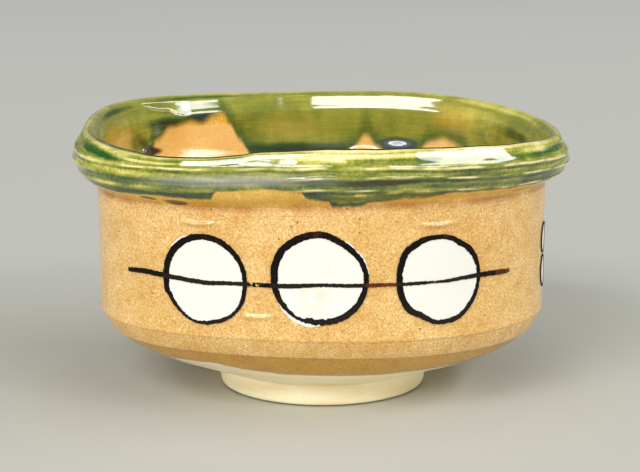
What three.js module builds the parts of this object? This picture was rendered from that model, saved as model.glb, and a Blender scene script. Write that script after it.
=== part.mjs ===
// A shoe-shaped tea bowl: a stoneware bowl thrown round on the wheel, pushed out of round while soft,
// luted to a low foot ring, coated with glaze and decorated with three slip roundels on one brushed line.
// Millimetres, +Z up. The origin is on the table under the middle of the bowl. -Y is the decorated front.

import * as THREE from "three";
import { mergeVertices } from "three/addons/utils/BufferGeometryUtils.js";

// Plan of the pressed wall, seen from above
const THROWN_WALL_RADIUS = 55; // outside of the wall as it left the wheel
const HALF_LENGTH = 61.4; // left to right, after pressing
const HALF_DEPTH = 50.4; // front to back, after pressing
const SQUARENESS = 2.55; // exponent of the oval: 2 is an ellipse, more is squarer
const LEFT_SQUARER = 0.35; // the blunt toe end is squarer, the other end more pointed
const BACK_SQUARER = 0.3;

// Waves of the rim: each rises and falls so many times in a turn
const RIM_WAVE_START = 50; // below this height the wall is level
const RIM_WAVE_FULL = 72.4;
const RIM_WAVES = [
  { times: 1, cosine: -0.3, sine: 0.6 },
  { times: 2, cosine: -1.1, sine: -0.7 },
  { times: 3, cosine: -0.9, sine: 0.4 },
];

// The trimmed lower wall is higher at the left end than at the right
const TRIM_TILT = 1.1;
const TILT_STARTS = [7, 15];
const TILT_ENDS = [20, 36];

// The pressing dies away between these radii, so the foot stays round
const UNPRESSED_RADIUS = 27.8;
const FULL_PRESS_RADIUS = 50;

// Outline of the thrown pot as it shows, in [radius, height] points that run up the outside and down
// the inside
const FOOT_INSIDE = [21.4, 6];
const FOOT_OUTSIDE = [28.3, 6.4];
const RECESS_CENTRE_HEIGHT = 5.8;
const FOOT_OUTLINE = [[27.9, 3.6], [27.4, 1.1], [26.4, 0], [23, 0], [22, 0.8], [21.5, 4.6]];
const BARE_UNDERSIDE = [[34, 8.6]];
const GLAZE_LINE = [42, 12];
const COATED_WALL = [
  [47.2, 15.2],
  [51.6, 18.7], // trimmed edge
  [53.3, 20.5], [54.3, 23], [54.8, 27], [54.9, 38], [54.5, 50],
];
const NECK = [54.5, 58.4]; // top of the amber coat
const GREEN_START = [54.7, 58.7];
const ROLLED_RIM = [
  [57, 60.6], [59.5, 63.3], // lowest throwing ridge
  [59.1, 64.7], [60.4, 66.4], // second ridge
  [60, 67.7], [60.8, 69.1], // highest ridge
  [60, 70.9], [58.8, 72], [57.2, 72.4], [55.7, 71.6], [54.6, 69.4],
];
const GREEN_INSIDE_EDGE = [53, 64.5];
const INSIDE_COAT_TOP = [52.9, 64.2];
const INSIDE_WALL = [[50.4, 57.5], [49.3, 51], [49.5, 40], [48.7, 28], [45, 19.4], [36, 14.2], [20, 12]];
const INSIDE_FLOOR_HEIGHT = 11.5;

// Thicknesses
const OUTSIDE_GLAZE = 0.5;
const GREEN_GLAZE = 0.9;
const INSIDE_GLAZE = 0.6;
const SLIP_THICKNESS = 0.45;
const STROKE_THICKNESS = 0.6;
const LINE_THICKNESS = 0.4;
const SEAT_GAP = 0.15; // between curved faces that lie on each other

// Three roundels on the front, placed by their distance round the wall from the middle of the front, with
// the half width and half height of the iron ring
const ROUNDELS = [
  { side: "left", along: -30.8, height: 39.4, halfWidth: 11.5, halfHeight: 12 },
  { side: "middle", along: -0.8, height: 40.4, halfWidth: 12.4, halfHeight: 12.2 },
  { side: "right", along: 31, height: 39, halfWidth: 12, halfHeight: 11.6 },
];
const RING_WIDTH = 1.5;
const LINE_START = { along: -54.4, height: 39.6 };
const LINE_END = { along: 54, height: 38.2 };
const LINE_WIDTH = 1;
const LINE_TIP_LENGTH = 4;

// Two small roundels on the right end, one above the other
const SIDE_ROUNDELS = [
  { level: "upper", along: 78.5, height: 42.8, halfWidth: 4.4, halfHeight: 4.3 },
  { level: "lower", along: 78.5, height: 33.8, halfWidth: 4.4, halfHeight: 4.3 },
];
const SIDE_RING_WIDTH = 0.9;

const STEPS_ROUND = 56;
const ROUNDEL_STEPS = 28;
const LINE_STEPS = 56;

const clay = new THREE.MeshStandardMaterial({ color: 0xe6d6ae, roughness: 0.85, metalness: 0 });
const amberGlaze = new THREE.MeshStandardMaterial({ color: 0xd9a864, roughness: 0.4, metalness: 0 });
const greenGlaze = new THREE.MeshStandardMaterial({ color: 0x6f8a34, roughness: 0.12, metalness: 0 });
const oliveGlaze = new THREE.MeshStandardMaterial({ color: 0x9a8c3c, roughness: 0.15, metalness: 0 });
const whiteSlip = new THREE.MeshStandardMaterial({ color: 0xf4f0e4, roughness: 0.35, metalness: 0 });
const ironBrown = new THREE.MeshStandardMaterial({ color: 0x2a1d17, roughness: 0.45, metalness: 0 });

const bowl = new THREE.Group();

function add(name, geometry, material) {
  const mesh = new THREE.Mesh(geometry, material);
  mesh.name = name;
  bowl.add(mesh);
}

function smoothStep(from, to, value) {
  const share = Math.min(1, Math.max(0, (value - from) / (to - from)));
  return share * share * (3 - 2 * share);
}

// Radius of the pressed wall at an angle measured from +X towards +Y.
function planRadius(angle) {
  const exponent = SQUARENESS - LEFT_SQUARER * Math.cos(angle) + BACK_SQUARER * Math.sin(angle);
  const along = Math.abs(Math.cos(angle) / HALF_LENGTH) ** exponent;
  const across = Math.abs(Math.sin(angle) / HALF_DEPTH) ** exponent;
  return (along + across) ** (-1 / exponent);
}

function rimLift(angle) {
  let lift = 0;
  for (const { times, cosine, sine } of RIM_WAVES) {
    lift += cosine * Math.cos(times * angle) + sine * Math.sin(times * angle);
  }
  return lift;
}

function trimLift(angle, height) {
  const share = smoothStep(...TILT_STARTS, height) * (1 - smoothStep(...TILT_ENDS, height));
  return -TRIM_TILT * Math.cos(angle) * share;
}

// Where a point of the round pot goes when the potter pushes the wall into the shoe shape.
function press(radius, angle, height) {
  const share = smoothStep(UNPRESSED_RADIUS, FULL_PRESS_RADIUS, radius);
  const pressed = radius * (1 + share * (planRadius(angle) / THROWN_WALL_RADIUS - 1));
  const waved = height + rimLift(angle) * smoothStep(RIM_WAVE_START, RIM_WAVE_FULL, height);
  const lifted = waved + trimLift(angle, height);
  return new THREE.Vector3(pressed * Math.cos(angle), pressed * Math.sin(angle), lifted);
}

// Leaves out triangles that have shrunk to a line, and turns the rest over if asked.
function tidyFaces(geometry, turnOver) {
  const index = geometry.getIndex().array;
  const kept = [];
  for (let i = 0; i < index.length; i += 3) {
    const [a, b, c] = [index[i], index[i + 1], index[i + 2]];
    if (a === b || b === c || c === a) continue;
    kept.push(a, turnOver ? c : b, turnOver ? b : c);
  }
  geometry.setIndex(kept);
  return geometry;
}

// A body turned from a profile of [radius, height] points, then pressed. The profile ends on the axis
// twice or closes on itself, and may run either way round.
function thrown(profile) {
  const points = profile.map(([radius, height]) => new THREE.Vector2(radius, height));
  const closesOnAxis = points[0].x === 0 && points[points.length - 1].x === 0;
  if (!closesOnAxis) points.push(points[0].clone());
  const geometry = new THREE.LatheGeometry(points, STEPS_ROUND);
  geometry.deleteAttribute("normal");
  geometry.deleteAttribute("uv");
  geometry.rotateX(Math.PI / 2);
  const welded = mergeVertices(geometry, 1e-3);
  const position = welded.getAttribute("position");
  for (let i = 0; i < position.count; i++) {
    const radius = Math.hypot(position.getX(i), position.getY(i));
    const angle = Math.atan2(position.getY(i), position.getX(i));
    const point = press(radius, angle, position.getZ(i));
    position.setXYZ(i, point.x, point.y, point.z);
  }
  return tidyFaces(welded, THREE.ShapeUtils.area(points) < 0);
}

// The clay under a coat: the visible outline moved into the wall by the coat's thickness, measured
// between the points before and after each point.
function underCoat(points, before, after, thickness) {
  const outline = [before, ...points, after];
  return points.map(([radius, height], i) => {
    const run = new THREE.Vector2(outline[i + 2][0] - outline[i][0], outline[i + 2][1] - outline[i][1]);
    run.normalize();
    return [radius - run.y * thickness, height + run.x * thickness];
  });
}

// Body of clay

const neckClay = [NECK[0] - OUTSIDE_GLAZE, NECK[1]];
const wallClay = underCoat(COATED_WALL, GLAZE_LINE, NECK, OUTSIDE_GLAZE);
const greenStartClay = [GREEN_START[0] - OUTSIDE_GLAZE, GREEN_START[1]];
const rimClay = underCoat(ROLLED_RIM, GREEN_START, GREEN_INSIDE_EDGE, GREEN_GLAZE);
const greenEdgeClay = underCoat([GREEN_INSIDE_EDGE], ROLLED_RIM.at(-1), INSIDE_COAT_TOP, INSIDE_GLAZE)[0];
const insideTopClay = underCoat([INSIDE_COAT_TOP], GREEN_INSIDE_EDGE, INSIDE_WALL[0], INSIDE_GLAZE)[0];
const floorCentre = [0, INSIDE_FLOOR_HEIGHT];
const insideClay = underCoat(INSIDE_WALL, INSIDE_COAT_TOP, floorCentre, INSIDE_GLAZE);
const floorCentreClay = [0, INSIDE_FLOOR_HEIGHT - INSIDE_GLAZE];

add(
  "clay_body",
  thrown([
    [0, RECESS_CENTRE_HEIGHT], FOOT_INSIDE, FOOT_OUTSIDE, ...BARE_UNDERSIDE, GLAZE_LINE,
    ...wallClay, neckClay,
    greenStartClay, ...rimClay, greenEdgeClay,
    insideTopClay, ...insideClay, floorCentreClay,
  ]),
  clay,
);
add("foot_ring", thrown([FOOT_INSIDE, FOOT_OUTSIDE, ...FOOT_OUTLINE]), clay);

// Coats of glaze. Each runs its seat the way the clay runs, so that the two have the same facets.

function coat(seat, visible) {
  return thrown([...seat, ...visible.toReversed()]);
}

add(
  "outside_glaze",
  coat([GLAZE_LINE, ...wallClay, neckClay], [...COATED_WALL, NECK]),
  amberGlaze,
);
add(
  "green_rim_glaze",
  coat([greenStartClay, ...rimClay, greenEdgeClay], [GREEN_START, ...ROLLED_RIM, GREEN_INSIDE_EDGE]),
  greenGlaze,
);
add(
  "inside_glaze",
  coat([insideTopClay, ...insideClay, floorCentreClay], [INSIDE_COAT_TOP, ...INSIDE_WALL, floorCentre]),
  oliveGlaze,
);

// Painting on the wall. A place on the wall is a distance along it from the middle of the front,
// positive to the right, a height, and a lift off the glaze.

function wallRadius(height) {
  const outline = [...COATED_WALL, NECK];
  const above = outline.findIndex((point) => point[1] >= height);
  const [low, high] = [outline[above - 1], outline[above]];
  return THREE.MathUtils.mapLinear(height, low[1], high[1], low[0], high[0]);
}

const FRONT_ANGLE = -Math.PI / 2;
const ARC_STEP = Math.PI / 720;

// The angle reached by walking along the wall from the middle of the front.
function wallAngle(along) {
  const turn = ARC_STEP * Math.sign(along);
  let angle = FRONT_ANGLE;
  let left = Math.abs(along);
  while (left > 0) {
    const from = press(THROWN_WALL_RADIUS, angle, 0);
    const stride = from.distanceTo(press(THROWN_WALL_RADIUS, angle + turn, 0));
    angle += turn * Math.min(1, left / stride);
    left -= stride;
  }
  return angle;
}

function onWall(along, height, lift) {
  const radius = wallRadius(height);
  const angle = wallAngle(along);
  const place = press(radius, angle, height);
  const ahead = press(radius, angle + 0.01, height);
  const behind = press(radius, angle - 0.01, height);
  const outward = ahead.sub(behind).cross(new THREE.Vector3(0, 0, 1)).normalize();
  return place.addScaledVector(outward, lift);
}

// A closed body from rows of points: neighbouring rows are joined, and so are the ends of each row.
// Rows that meet in one point at both ends close the body, or the last row joins the first.
function rowsBody(rows, joinsUp) {
  const size = rows[0].length;
  const positions = rows.flat().flatMap((point) => point.toArray());
  const faces = [];
  const strips = joinsUp ? rows.length : rows.length - 1;
  for (let row = 0; row < strips; row++) {
    const next = (row + 1) % rows.length;
    for (let i = 0; i < size; i++) {
      const [a, b] = [row * size + i, row * size + ((i + 1) % size)];
      const [c, d] = [next * size + i, next * size + ((i + 1) % size)];
      faces.push(a, b, d, a, d, c);
    }
  }
  if (!joinsUp) {
    for (let i = 1; i < size - 1; i++) {
      faces.push(0, i + 1, i);
      const last = (rows.length - 1) * size;
      faces.push(last, last + i, last + i + 1);
    }
  }
  const geometry = new THREE.BufferGeometry();
  geometry.setAttribute("position", new THREE.Float32BufferAttribute(positions, 3));
  geometry.setIndex(faces);
  return tidyFaces(mergeVertices(geometry, 1e-4), false);
}

function roundelPoint({ along, height, halfWidth, halfHeight }, turn, inset, share, lift) {
  const angle = (turn / ROUNDEL_STEPS) * 2 * Math.PI;
  return onWall(
    along + share * (halfWidth - inset) * Math.cos(angle),
    height + share * (halfHeight - inset) * Math.sin(angle),
    lift,
  );
}

// A disc of slip that stops short of the roundel's edge by an inset: rings out from the middle
// underneath, and the same rings back on top.
const DISC_RINGS = [0.04, 0.5, 1];

function slipDisc(roundel, inset) {
  const ring = (share, lift) =>
    Array.from({ length: ROUNDEL_STEPS }, (_, turn) => roundelPoint(roundel, turn, inset, share, lift));
  const below = DISC_RINGS.map((share) => ring(share, SEAT_GAP));
  const above = DISC_RINGS.toReversed().map((share) => ring(share, SEAT_GAP + SLIP_THICKNESS));
  return rowsBody([...below, ...above], false);
}

// A ring of iron brushed round a disc.
function ironRing(roundel, width) {
  const [low, high] = [SEAT_GAP, SEAT_GAP + STROKE_THICKNESS];
  const section = [[width, low], [width, high], [0, high], [0, low]];
  const rows = Array.from({ length: ROUNDEL_STEPS }, (_, turn) =>
    section.map(([inset, lift]) => roundelPoint(roundel, turn, inset, 1, lift)),
  );
  return rowsBody(rows, true);
}

for (const roundel of ROUNDELS) {
  add(`slip_roundel_${roundel.side}`, slipDisc(roundel, RING_WIDTH + SEAT_GAP), whiteSlip);
  add(`iron_ring_${roundel.side}`, ironRing(roundel, RING_WIDTH), ironBrown);
}
for (const roundel of SIDE_ROUNDELS) {
  add(`side_roundel_${roundel.level}`, slipDisc(roundel, SIDE_RING_WIDTH + SEAT_GAP), whiteSlip);
  add(`side_ring_${roundel.level}`, ironRing(roundel, SIDE_RING_WIDTH), ironBrown);
}

// The line is one stroke that runs on the wall and climbs over the roundels.
const LINE_CLIMB_LENGTH = 0.8;

function lineLift(along) {
  const over = SEAT_GAP + STROKE_THICKNESS;
  const climbs = ROUNDELS.map(({ along: middle, halfWidth }) => {
    const reach = halfWidth + LINE_CLIMB_LENGTH;
    return over * (1 - smoothStep(reach, reach + LINE_CLIMB_LENGTH, Math.abs(along - middle)));
  });
  return SEAT_GAP + Math.max(...climbs);
}

const lineRows = Array.from({ length: LINE_STEPS + 1 }, (_, i) => {
  const share = i / LINE_STEPS;
  const along = THREE.MathUtils.lerp(LINE_START.along, LINE_END.along, share);
  const height = THREE.MathUtils.lerp(LINE_START.height, LINE_END.height, share);
  const fromTip = Math.min(along - LINE_START.along, LINE_END.along - along);
  const half = (LINE_WIDTH / 2) * (0.35 + 0.65 * smoothStep(0, LINE_TIP_LENGTH, fromTip));
  const lift = lineLift(along);
  return [
    onWall(along, height - half, lift),
    onWall(along, height + half, lift),
    onWall(along, height + half, lift + LINE_THICKNESS),
    onWall(along, height - half, lift + LINE_THICKNESS),
  ];
});
add("iron_skewer_line", rowsBody(lineRows, false), ironBrown);

export default bowl;
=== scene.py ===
import functools
import math

import bmesh
import bpy
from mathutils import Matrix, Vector, noise


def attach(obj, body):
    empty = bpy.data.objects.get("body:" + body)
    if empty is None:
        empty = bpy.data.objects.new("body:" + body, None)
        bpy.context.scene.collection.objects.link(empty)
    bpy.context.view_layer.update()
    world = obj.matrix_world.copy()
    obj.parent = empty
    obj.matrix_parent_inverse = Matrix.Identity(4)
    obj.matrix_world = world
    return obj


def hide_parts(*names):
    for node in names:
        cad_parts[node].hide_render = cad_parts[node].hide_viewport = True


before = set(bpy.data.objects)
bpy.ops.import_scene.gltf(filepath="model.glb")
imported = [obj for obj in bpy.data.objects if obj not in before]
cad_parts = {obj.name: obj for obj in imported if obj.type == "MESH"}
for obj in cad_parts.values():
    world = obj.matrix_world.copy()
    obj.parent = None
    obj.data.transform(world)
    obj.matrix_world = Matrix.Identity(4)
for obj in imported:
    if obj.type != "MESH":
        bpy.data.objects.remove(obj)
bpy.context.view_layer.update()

# The camera stands half a metre in front of the bowl, a little above its rim, and looks 12 degrees
# down into it through a long lens.
CAMERA_DISTANCE = 0.560
CAMERA_HEIGHT = 0.1596
LOOKS_DOWN = 0.209
LENS = 116.5
SHIFT = -0.0039

camera_data = bpy.data.cameras.new("camera")
camera_data.lens = LENS
camera_data.sensor_width = 36
camera_data.shift_x = SHIFT
camera = bpy.data.objects.new("camera", camera_data)
camera.location = (0, -CAMERA_DISTANCE, CAMERA_HEIGHT)
camera.rotation_euler = (math.pi / 2 - LOOKS_DOWN, 0, 0)
bpy.context.scene.collection.objects.link(camera)
bpy.context.scene.camera = camera

# The clay body: a bowl thrown round in sandy stoneware and pushed into a shoe shape while soft. Its
# outline is in millimetres, [radius, height] on the round pot, and runs up the outside and down the
# inside. Both glazed sides keep their coats' thickness free.
MM = 0.001
THROWN_WALL_RADIUS = 55
HALF_LENGTH = 61.4
HALF_DEPTH = 50.4
SQUARENESS = 2.55
LEFT_SQUARER = 0.35
BACK_SQUARER = 0.3
RIM_WAVE_START = 50
RIM_WAVE_FULL = 72.4
# Waves of the rim, each [times round, cosine share, sine share]
RIM_WAVES = [(1, -0.3, 0.6), (2, -1.1, -0.7), (3, -0.9, 0.4)]
TRIM_TILT = -1.1
TILT_STARTS = (7, 15)
TILT_ENDS = (20, 36)
UNPRESSED_RADIUS = 27.8
FULL_PRESS_RADIUS = 50
STEPS_ROUND = 384
SHARP_ANGLE = math.radians(50)
FOOT_INSIDE = (21.4, 6)
FOOT_OUTSIDE = (28.3, 5.9)
RECESS = [(0, 5.8), (12, 5.8), FOOT_INSIDE]
UNDERSIDE = [FOOT_OUTSIDE, (34, 8.1), (42, 11.6)]
LOWER_WALL = [(42, 11.6), (47.2, 14.8), (51.45, 18.6)]
WALL = [
    (51.45, 18.6), (51.9, 18.85), (52.8, 20.4), (53.45, 21.7), (53.95, 22.9), (54.1, 23.35),
    (54.45, 23.8), (54.5, 24.4), (54.4, 26), (54.3, 38), (54.5, 50), (54.55, 55), (54.5, 58.6),
]
RIM = [
    (54.5, 58.6), (55.3, 59.6), (57.4, 61.2), (58.9, 63.2), (59.6, 65), (60.15, 66.6), (60.2, 67.7),
    (59.65, 68.95), (59, 70.2), (58.1, 71.93), (57.75, 72.25), (57.45, 72.42), (57.15, 72.5),
    (56.85, 72.5), (56.55, 72.47), (56.25, 72.38), (55.95, 72.22), (55.65, 71.99), (55.35, 71.66),
    (55.05, 71.2), (54.46, 69.77), (53.86, 68.33), (53.27, 66.9), (53, 65.7), (52.9, 64.2),
]
INSIDE = [
    (52.9, 64.2), (52.8, 62), (52.6, 60.4), (52.3, 59), (51.9, 57.6), (51.45, 56.3), (50.85, 55),
    (50.2, 53.4), (49.7, 51), (49.5, 46), (49.5, 38), (48.7, 28), (45, 19.4), (36, 14.2), (20, 12),
    (0, 11.5),
]
OUTSIDE_GLAZE = 0.5
RIM_GLAZE = 0.9
INSIDE_GLAZE = 0.6


def smooth_step(start, end, value):
    share = min(1, max(0, (value - start) / (end - start)))
    return share * share * (3 - 2 * share)


def swell(rise, fall, value):
    """0 up to the rise, 1 between the rise and the fall, and 0 again after the fall."""
    return smooth_step(*rise, value) * (1 - smooth_step(*fall, value))


def plan_radius(angle):
    power = SQUARENESS - LEFT_SQUARER * math.cos(angle) + BACK_SQUARER * math.sin(angle)
    along = abs(math.cos(angle) / HALF_LENGTH) ** power
    across = abs(math.sin(angle) / HALF_DEPTH) ** power
    return (along + across) ** (-1 / power)


def rim_lift(angle):
    return sum(cosine * math.cos(times * angle) + sine * math.sin(times * angle)
               for times, cosine, sine in RIM_WAVES)


def press(radius, angle, height):
    """Where the pressing moves a point of the round pot, in metres."""
    share = smooth_step(UNPRESSED_RADIUS, FULL_PRESS_RADIUS, radius)
    pressed = radius * (1 + share * (plan_radius(angle) / THROWN_WALL_RADIUS - 1))
    lifted = height + rim_lift(angle) * smooth_step(RIM_WAVE_START, RIM_WAVE_FULL, height)
    lifted += TRIM_TILT * math.cos(angle) * swell(TILT_STARTS, TILT_ENDS, height)
    return Vector((pressed * math.cos(angle), pressed * math.sin(angle), lifted)) * MM


def smooth_run(points, spacing, before=None, after=None):
    """A smooth outline through the points. The points before and after it only steer its ends."""
    points = [Vector(point) for point in points]
    first = Vector(before) if before else 2 * points[0] - points[1]
    last = Vector(after) if after else 2 * points[-1] - points[-2]
    ends = [first, *points, last]
    run = []
    for earlier, start, end, later in zip(ends, ends[1:], ends[2:], ends[3:]):
        count = max(1, math.ceil((end - start).length / spacing))
        for step in range(count):
            t = step / count
            run.append(0.5 * (
                2 * start + (end - earlier) * t
                + (2 * earlier - 5 * start + 4 * end - later) * t ** 2
                + (3 * start - earlier - 3 * end + later) * t ** 3
            ))
    return [*run, points[-1]]


def under_coat(run, thickness):
    """The outline moved into the clay by a coat's thickness."""
    moved = []
    for index, point in enumerate(run):
        way = run[min(index + 1, len(run) - 1)] - run[max(index - 1, 0)]
        way.normalize()
        moved.append(point + thickness * Vector((-way.y, way.x)))
    return moved


def mesh_piece(name, mesh, node, material):
    data = bpy.data.meshes.new(name)
    mesh.to_mesh(data)
    mesh.free()
    data.materials.append(material)
    piece = bpy.data.objects.new(name, data)
    bpy.context.scene.collection.objects.link(piece)
    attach(piece, "root")
    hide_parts(node)


def smooth_faces(mesh):
    bmesh.ops.recalc_face_normals(mesh, faces=mesh.faces)
    for face in mesh.faces:
        face.smooth = True
    for edge in mesh.edges:
        if edge.calc_face_angle(0) > SHARP_ANGLE:
            edge.smooth = False


def thrown(outline, shape=press, note_names=(), notes_at=None):
    """Spins an outline of [radius, height] points and presses it. Notes are values that a material
    reads; notes_at gives them for a point of the round pot, in the order of their names."""
    mesh = bmesh.new()
    layers = [mesh.verts.layers.float.new(name) for name in note_names]
    points = [mesh.verts.new((radius, 0, height)) for radius, height in outline]
    on_axis = outline[0][0] == 0 and outline[-1][0] == 0
    pairs = zip(points, points[1:] if on_axis else points[1:] + points[:1])
    edges = [mesh.edges.new(pair) for pair in pairs]
    bmesh.ops.spin(mesh, geom=points + edges, cent=(0, 0, 0), axis=(0, 0, 1), angle=2 * math.pi,
                   steps=STEPS_ROUND, use_merge=True)
    bmesh.ops.remove_doubles(mesh, verts=mesh.verts, dist=1e-3)
    for point in mesh.verts:
        radius = math.hypot(point.co.x, point.co.y)
        angle = math.atan2(point.co.y, point.co.x)
        height = point.co.z
        if notes_at:
            for layer, value in zip(layers, notes_at(radius, angle, height)):
                point[layer] = value
        point.co = shape(radius, angle, height)
    smooth_faces(mesh)
    return mesh


def new_material(name, roughness, **settings):
    material = bpy.data.materials.new(name)
    material.use_nodes = True
    shader = material.node_tree.nodes["Principled BSDF"]
    shader.inputs["Roughness"].default_value = roughness
    for socket_name, value in settings.items():
        shader.inputs[socket_name].default_value = value
    return material, material.node_tree, shader


def add_node(tree, kind, sockets=(), **settings):
    """A node with its settings. Each socket, by name or by number, takes a value or a link."""
    node = tree.nodes.new(kind)
    for name, value in settings.items():
        setattr(node, name, value)
    for name, value in dict(sockets).items():
        if isinstance(value, bpy.types.NodeSocket):
            tree.links.new(value, node.inputs[name])
        else:
            node.inputs[name].default_value = value
    return node


def calculate(tree, operation, first, second=0.0):
    return add_node(tree, "ShaderNodeMath", {0: first, 1: second}, operation=operation).outputs[0]


def mix_colours(tree, share, first, second, blend="MIX"):
    sockets = {0: share, 6: first, 7: second}
    return add_node(tree, "ShaderNodeMix", sockets, data_type="RGBA", blend_type=blend).outputs[2]


def noise_at(tree, place, scale, detail=2.0, stretch=(1, 1, 1)):
    stretched = add_node(tree, "ShaderNodeMapping", {"Vector": place, "Scale": stretch}).outputs[0]
    sockets = {"Vector": stretched, "Scale": scale, "Detail": detail}
    return add_node(tree, "ShaderNodeTexNoise", sockets).outputs[0]


def between(tree, value, low, high):
    """0 where the value is at low, 1 where it is at high, and smooth between."""
    sockets = {0: value, 1: low, 2: high, 3: 0.0, 4: 1.0}
    return add_node(tree, "ShaderNodeMapRange", sockets, interpolation_type="SMOOTHSTEP").outputs[0]


def srgb(red, green, blue):
    parts = [channel / 255 for channel in (red, green, blue)]
    return (*[part / 12.92 if part <= 0.04045 else ((part + 0.055) / 1.055) ** 2.4 for part in parts], 1)


def object_place(tree):
    return add_node(tree, "ShaderNodeTexCoord").outputs["Object"]


def new_group(name, inputs, outputs):
    group = bpy.data.node_groups.new(name, "ShaderNodeTree")
    for way, sockets in (("INPUT", inputs), ("OUTPUT", outputs)):
        for socket_name, kind in sockets.items():
            group.interface.new_socket(socket_name, in_out=way, socket_type=f"NodeSocket{kind}")
    return group, add_node(group, "NodeGroupInput").outputs, add_node(group, "NodeGroupOutput").inputs


# Sand and iron specks in the clay show through thin glaze, so clay and amber glaze share this group.
# Speck sizes are in shares of a cell, and the share says how many cells have a speck.
GRAIN_SCALE = 2000
PATCH_SCALE = 190
PALE_SAND_SCALE = 1500
PALE_SAND_SIZE = 0.42
PALE_SAND_SHARE = 0.24
IRON_SPECK_SCALE = 640
IRON_SPECK_SIZE = 0.22
IRON_SPECK_SHARE = 0.09
SAND_SHADE = srgb(230, 206, 166)
PATCH_SHADE = srgb(247, 237, 214)
PALE_SAND = (1.25, 1.6, 2.6, 1)
IRON_SPECK = srgb(96, 60, 30)

sand, sand_in, sand_out = new_group(
    "sand_in_clay",
    {"Place": "Vector", "Colour": "Color", "Amount": "Float"},
    {"Colour": "Color", "Height": "Float"},
)


def specks(scale, size, share):
    """1 on round specks, of which a share of the cells has one."""
    cells = add_node(sand, "ShaderNodeTexVoronoi", {"Vector": sand_in["Place"], "Scale": scale})
    chance = add_node(sand, "ShaderNodeSeparateColor", {0: cells.outputs["Color"]}).outputs[0]
    dot = between(sand, cells.outputs["Distance"], size, size * 0.5)
    return calculate(sand, "MULTIPLY", dot, between(sand, chance, 1 - share, 1.05 - share))


grain = noise_at(sand, sand_in["Place"], GRAIN_SCALE, 3)
patches = noise_at(sand, sand_in["Place"], PATCH_SCALE, 3)
sanded = sand_in["Colour"]
for mask, colour, blend in (
    (between(sand, patches, 0.4, 0.65), PATCH_SHADE, "MULTIPLY"),
    (between(sand, grain, 0.42, 0.62), SAND_SHADE, "MULTIPLY"),
    (specks(PALE_SAND_SCALE, PALE_SAND_SIZE, PALE_SAND_SHARE), PALE_SAND, "MULTIPLY"),
    (specks(IRON_SPECK_SCALE, IRON_SPECK_SIZE, IRON_SPECK_SHARE), IRON_SPECK, "MIX"),
):
    share = calculate(sand, "MULTIPLY", mask, sand_in["Amount"])
    sanded = mix_colours(sand, share, sanded, colour, blend)
sand.links.new(sanded, sand_out["Colour"])
sand.links.new(grain, sand_out["Height"])

PALE_CLAY = srgb(255, 245, 208)
WARM_CLAY = srgb(250, 231, 184)
CLAY_SANDINESS = 0.1

bare_clay, clay_tree, clay_shader = new_material("bare_clay", 0.75)
clay_place = object_place(clay_tree)
clay_shade = between(clay_tree, noise_at(clay_tree, clay_place, 60, 3, (1, 1, 4)), 0.35, 0.7)
clay_tone = mix_colours(clay_tree, clay_shade, PALE_CLAY, WARM_CLAY)
clay_sand = add_node(clay_tree, "ShaderNodeGroup", node_tree=sand)
clay_tree.links.new(clay_place, clay_sand.inputs["Place"])
clay_tree.links.new(clay_tone, clay_sand.inputs["Colour"])
clay_sand.inputs["Amount"].default_value = CLAY_SANDINESS
clay_bump = add_node(
    clay_tree, "ShaderNodeBump", {"Strength": 0.3, "Distance": 0.0002, "Height": clay_sand.outputs["Height"]},
)
clay_tree.links.new(clay_sand.outputs["Colour"], clay_shader.inputs["Base Color"])
clay_tree.links.new(clay_bump.outputs[0], clay_shader.inputs["Normal"])

wall_run = smooth_run(LOWER_WALL, 0.8) + smooth_run(WALL, 0.35)[1:]
rim_run = smooth_run(RIM, 0.22, after=INSIDE[1])
inside_run = smooth_run(INSIDE, 0.5, before=RIM[-2])
clay_outline = [
    *smooth_run(RECESS, 3), *smooth_run(UNDERSIDE, 1.5),
    *under_coat(wall_run, OUTSIDE_GLAZE)[2::3], *under_coat(rim_run, RIM_GLAZE)[3:-1:4],
    *under_coat(inside_run, INSIDE_GLAZE)[2:-1:3], (0, INSIDE[-1][1] - INSIDE_GLAZE),
]
mesh_piece("thrown_clay_body", thrown(clay_outline), "clay_body", bare_clay)

# The foot ring: a low ring turned from the same clay and left bare of glaze, with its edges rounded by a
# wet sponge. The bowl stands on its flat lower face.
FOOT_SIDE = [
    FOOT_OUTSIDE, (28.5, 4.8), (28.5, 3.2), (28.35, 1.7), (28.15, 0.9), (27.8, 0.52), (27.3, 0.42),
    (25, 0.4), (24.6, 0),
]
FOOT_INNER_SIDE = [(23.4, 0), (22.2, 0.5), (21.7, 2.4), FOOT_INSIDE]

foot_outline = [FOOT_INSIDE, *smooth_run(FOOT_SIDE, 0.3), *smooth_run(FOOT_INNER_SIDE, 0.4)[:-1]]
mesh_piece("turned_foot_ring", thrown(foot_outline), "foot_ring", bare_clay)

# The glazes: a thin amber coat all over, and a thick copper green poured on the rim. The green ran down
# unevenly on both sides, pooled dark in the grooves and drew thin and pale over the crests. Places are
# [turn, height]: degrees round from the right end by the back, and millimetres up the round pot.

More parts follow.
